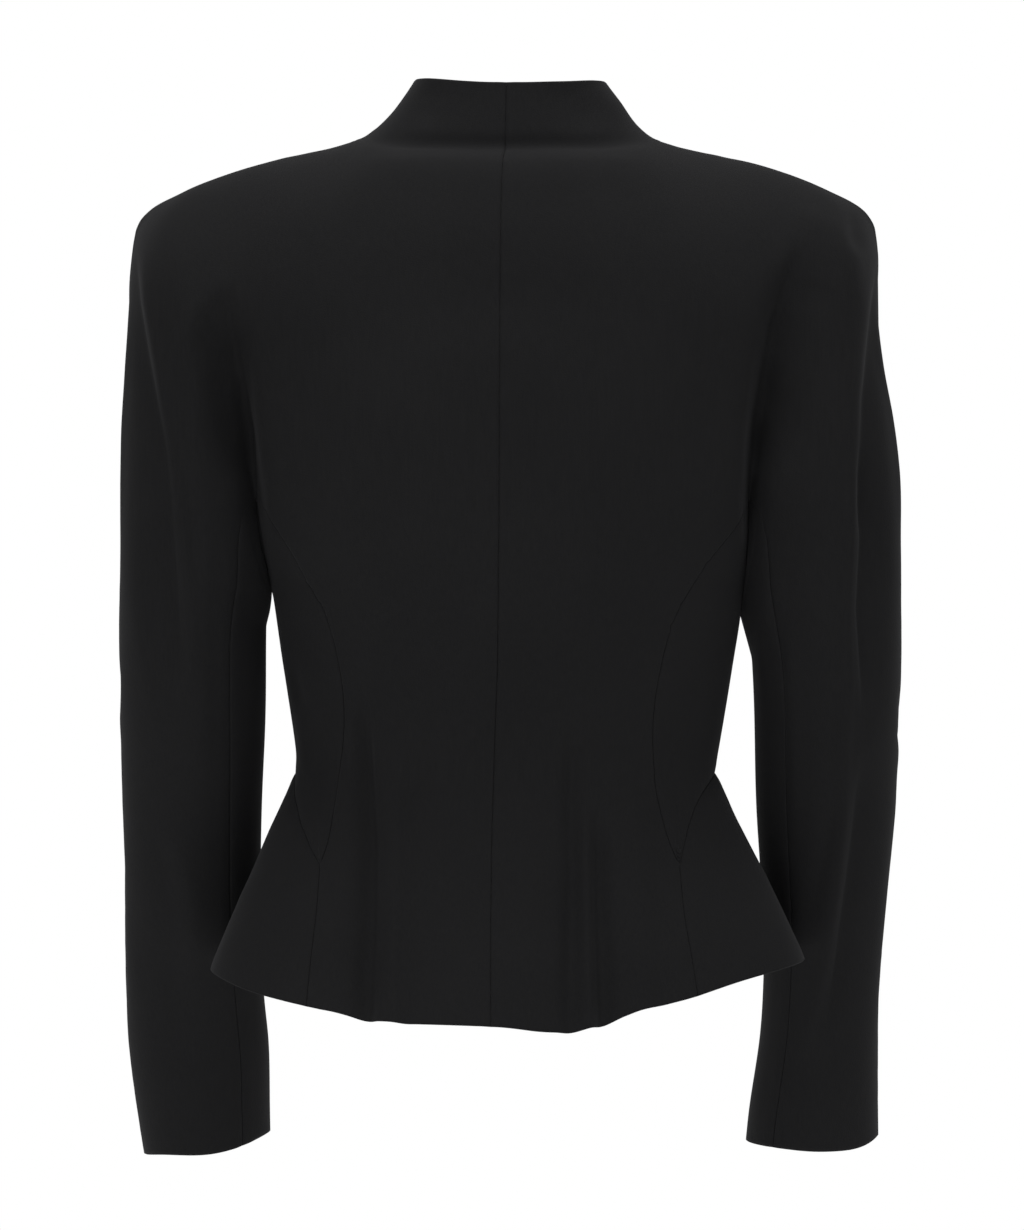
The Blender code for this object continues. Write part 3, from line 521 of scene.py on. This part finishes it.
# Curved seams are sewn fair, so each is smoothed along its own line, and the cloth near
# it follows
sewn = edge_ends[seam_edges & ~centre_edges]
met = np.bincount(sewn.ravel(), minlength=len(at))
met[edge_ends[open_edges].ravel()] = 0
met[edge_ends[centre_edges].ravel()] = 0
free = met == 2
fair = at.copy()
for _ in range(SEAM_SMOOTHINGS):
    total = np.zeros(at.shape)
    np.add.at(total, sewn[:, 0], fair[sewn[:, 1]])
    np.add.at(total, sewn[:, 1], fair[sewn[:, 0]])
    fair[free] = (1.0 - 2.0 * NEIGHBOUR_SHARE) * fair[free] + NEIGHBOUR_SHARE * total[free]
seam_points = np.unique(edge_ends[seam_edges].ravel())
finder = KDTree(len(seam_points))
for i in seam_points:
    finder.insert(Vector(at[i]), int(i))
finder.balance()
to_seam = np.empty(len(at))
nearest_seam = np.empty(len(at), np.int64)
for i, point in enumerate(at):
    _, nearest_seam[i], to_seam[i] = finder.find(point)
drag = np.exp(-(to_seam / SEAM_DRAG) ** 2)
shift = fair - at
shift *= SEAM_SHIFT / np.maximum(np.linalg.norm(shift, axis=1), SEAM_SHIFT)[:, None]
at += shift[nearest_seam] * drag[:, None]
put(at)

steps = SWELL * np.exp(-((to_seam - SWELL_FROM_SEAM) / SWELL_WIDTH) ** 2)
steps -= DIP * np.exp(-(to_seam / DIP_WIDTH) ** 2)
for i in np.nonzero(to_seam < SEAM_REACH)[0]:
    pucker = noise.noise(Vector(at[i]) / PUCKER_LENGTH)
    steps[i] += PUCKER * pucker * math.exp(-(to_seam[i] / PUCKER_REACH) ** 2)
steps *= 1.0 - flat_seams
put(at + directions() * steps[:, None])


# Black wool crepe: a dry, matt, pebbled cloth of hard-twisted yarn, with a faint upright
# grain. It is wool, so it has a little sheen where it turns away.
CREPE_DARK = (0.0064, 0.0064, 0.0068)
CREPE_LIGHT = (0.0104, 0.0103, 0.0107)
DARKEST_TONE = 0.32
LIGHTEST_TONE = 0.68
GRAIN_SCALE = 1500.0
PEBBLE_SCALE = 1100.0
STREAK_SCALE = (900.0, 900.0, 45.0)
PATCH_SCALE = 11.0
STREAK_SHARE = 0.45
PATCH_SHARE = 0.35
PEBBLE_SHARE = 0.5
ROUGHNESS = (0.80, 0.95)
BUMP_STRENGTH = 0.45
BUMP_HEIGHT = 0.4
SHEEN = 0.03
SHEEN_ROUGHNESS = 0.45
SHEEN_TINT = (0.75, 0.75, 0.78, 1.0)
SHINE = 0.06


def crepe_cloth():
    """The cloth of every panel."""
    cloth_look = bpy.data.materials.new("black_wool_crepe")
    cloth_look.use_nodes = True
    tree = cloth_look.node_tree
    shader = tree.nodes["Principled BSDF"]

    def node(kind, **inputs):
        """A new node with some of its inputs set."""
        made = tree.nodes.new(kind)
        for key, value in inputs.items():
            made.inputs[key.replace("_", " ")].default_value = value
        return made

    place = node("ShaderNodeTexCoord")
    grain = node("ShaderNodeTexNoise", Scale=GRAIN_SCALE, Detail=3.0, Roughness=0.6)
    pebble = node("ShaderNodeTexVoronoi", Scale=PEBBLE_SCALE)
    stretch = node("ShaderNodeMapping", Scale=STREAK_SCALE)
    streak = node("ShaderNodeTexNoise", Scale=1.0, Detail=2.0)
    patch = node("ShaderNodeTexNoise", Scale=PATCH_SCALE, Detail=3.0)
    for texture in (grain, pebble, patch):
        tree.links.new(place.outputs["Object"], texture.inputs["Vector"])
    tree.links.new(place.outputs["Object"], stretch.inputs["Vector"])
    tree.links.new(stretch.outputs["Vector"], streak.inputs["Vector"])

    def mixed(first, second, share):
        """Two values mixed, with a share of the second."""
        blend = tree.nodes.new("ShaderNodeMix")
        blend.data_type = "FLOAT"
        blend.inputs[0].default_value = share
        tree.links.new(first, blend.inputs[2])
        tree.links.new(second, blend.inputs[3])
        return blend.outputs[0]

    tone = mixed(grain.outputs[0], streak.outputs[0], STREAK_SHARE)
    tone = mixed(tone, patch.outputs[0], PATCH_SHARE)
    ramp = tree.nodes.new("ShaderNodeValToRGB")
    darkest, lightest = ramp.color_ramp.elements
    darkest.position = DARKEST_TONE
    darkest.color = (*CREPE_DARK, 1.0)
    lightest.position = LIGHTEST_TONE
    lightest.color = (*CREPE_LIGHT, 1.0)
    tree.links.new(tone, ramp.inputs["Fac"])
    tree.links.new(ramp.outputs["Color"], shader.inputs["Base Color"])
    rough = node("ShaderNodeMapRange", To_Min=ROUGHNESS[0], To_Max=ROUGHNESS[1])
    tree.links.new(patch.outputs[0], rough.inputs["Value"])
    tree.links.new(rough.outputs[0], shader.inputs["Roughness"])
    height = mixed(grain.outputs[0], pebble.outputs["Distance"], PEBBLE_SHARE)
    bump = node("ShaderNodeBump", Strength=BUMP_STRENGTH, Distance=BUMP_HEIGHT * MM)
    tree.links.new(height, bump.inputs["Height"])
    tree.links.new(bump.outputs["Normal"], shader.inputs["Normal"])
    shader.inputs["Sheen Weight"].default_value = SHEEN
    shader.inputs["Sheen Roughness"].default_value = SHEEN_ROUGHNESS
    shader.inputs["Sheen Tint"].default_value = SHEEN_TINT
    shader.inputs["Specular IOR Level"].default_value = SHINE
    return cloth_look


# The panels, cut out of the shell along their seams. Each is one thickness of crepe with
# its fusing, 2 mm, and hangs from the root. Its edge dips into the seam.
WALL = 2.0
TURN_WIDTH = 0.35

# Flat width and length in metres and area in square metres
CUT = {
    "back": (0.40, 0.72, 0.143),
    "front": (0.40, 0.70, 0.138),
    "side_panel": (0.16, 0.23, 0.0285),
    "under_sleeve": (0.10, 0.42, 0.032),
    "hip_godet": (0.23, 0.15, 0.022),
}
black_crepe = crepe_cloth()
whole = bmesh.new()
whole.from_mesh(cloth)
outward_of = whole.verts.layers.float_vector.new("outward")
turn_of = whole.verts.layers.float.new("turn")
for point, turn in zip(whole.verts, edge_turn):
    point[outward_of] = point.normal
    point[turn_of] = turn
for number, name in enumerate(panel_names):
    piece = whole.copy()
    panel_of = piece.faces.layers.int["panel"]
    others = [face for face in piece.faces if face[panel_of] != number]
    bmesh.ops.delete(piece, geom=others, context="FACES")
    bmesh.ops.inset_region(
        piece, faces=piece.faces[:], use_boundary=True, use_even_offset=True, thickness=TURN_WIDTH * MM)
    outward_of = piece.verts.layers.float_vector["outward"]
    turn_of = piece.verts.layers.float["turn"]
    for point in piece.verts:
        if point.is_boundary:
            point.co -= point[outward_of] * point[turn_of] * MM
    mesh = bpy.data.meshes.new(name + "_crepe")
    piece.to_mesh(mesh)
    piece.free()
    mesh.shade_smooth()
    mesh.materials.append(black_crepe)
    panel = bpy.data.objects.new(name + "_crepe", mesh)
    bpy.context.scene.collection.objects.link(panel)
    wall = panel.modifiers.new("wall", "SOLIDIFY")
    wall.thickness = WALL * MM
    wall.offset = -1.0
    kind, _, hand = name.rpartition("_")
    width, length, area = CUT[kind]
    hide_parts(name)
    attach(panel, "root")
whole.free()
bpy.data.meshes.remove(cloth)

# The studio: a pale glowing floor below the jacket, light from all round, a soft light
# above and one behind, and the camera straight behind the jacket at the height of its
# middle, as in the photograph. Places are in metres.
WHITE = (1.0, 1.0, 1.0, 1.0)
FLOOR_Z = -0.95
FLOOR_RADIUS = 1.75
FLOOR_POINTS = 96
FLOOR_COLOUR = (0.86, 0.86, 0.86, 1.0)
FLOOR_ROUGHNESS = 0.9
FLOOR_GLOW = 0.52
ROOM_LIGHT = 0.53
BACKDROP_LIGHT = 1.0
CAMERA_PLACE = (-0.0024, 2.6, -0.276)
CAMERA_TURN = (math.radians(90.0), 0.0, math.radians(180.0))
CAMERA_LENS = 126.8
SENSOR_WIDTH = 36.0

disc = bmesh.new()
bmesh.ops.create_circle(disc, cap_ends=True, segments=FLOOR_POINTS, radius=FLOOR_RADIUS)
bmesh.ops.translate(disc, verts=disc.verts[:], vec=(0.0, 0.0, FLOOR_Z))
floor_mesh = bpy.data.meshes.new("pale_floor")
disc.to_mesh(floor_mesh)
disc.free()
floor = bpy.data.objects.new("pale_floor", floor_mesh)
bpy.context.scene.collection.objects.link(floor)
floor_look = bpy.data.materials.new("pale_floor")
floor_look.use_nodes = True
floor_shader = floor_look.node_tree.nodes["Principled BSDF"]
floor_shader.inputs["Base Color"].default_value = FLOOR_COLOUR
floor_shader.inputs["Roughness"].default_value = FLOOR_ROUGHNESS
floor_shader.inputs["Emission Color"].default_value = WHITE
floor_shader.inputs["Emission Strength"].default_value = FLOOR_GLOW
floor_mesh.materials.append(floor_look)

world = bpy.data.worlds.new("white_studio")
world.use_nodes = True
world_tree = world.node_tree
backdrop = world_tree.nodes["Background"]
backdrop.inputs["Color"].default_value = WHITE
seen = world_tree.nodes.new("ShaderNodeLightPath")
strength = world_tree.nodes.new("ShaderNodeMapRange")
strength.inputs["To Min"].default_value = ROOM_LIGHT
strength.inputs["To Max"].default_value = BACKDROP_LIGHT
world_tree.links.new(seen.outputs["Is Camera Ray"], strength.inputs["Value"])
world_tree.links.new(strength.outputs["Result"], backdrop.inputs["Strength"])
bpy.context.scene.world = world
bpy.context.scene.view_settings.view_transform = "Standard"


def softbox(name, place, aim, size, power):
    """A large square soft light at a place, turned to a point."""
    lamp = bpy.data.lights.new(name, "AREA")
    lamp.shape = "SQUARE"
    lamp.size = size
    lamp.energy = power
    light = bpy.data.objects.new(name, lamp)
    light.location = place
    light.rotation_euler = (Vector(aim) - Vector(place)).to_track_quat("-Z", "Y").to_euler()
    bpy.context.scene.collection.objects.link(light)


softbox("overhead", place=(-0.1, 0.45, 2.0), aim=(0.0, 0.0, -0.1), size=1.5, power=50.0)
softbox("behind", place=(0.9, 3.1, -0.6), aim=(0.0, 0.0, -0.3), size=2.2, power=33.0)

lens = bpy.data.cameras.new("camera")
lens.lens = CAMERA_LENS
lens.sensor_width = SENSOR_WIDTH
camera = bpy.data.objects.new("camera", lens)
camera.location = CAMERA_PLACE
camera.rotation_euler = CAMERA_TURN
bpy.context.scene.collection.objects.link(camera)
bpy.context.scene.camera = camera
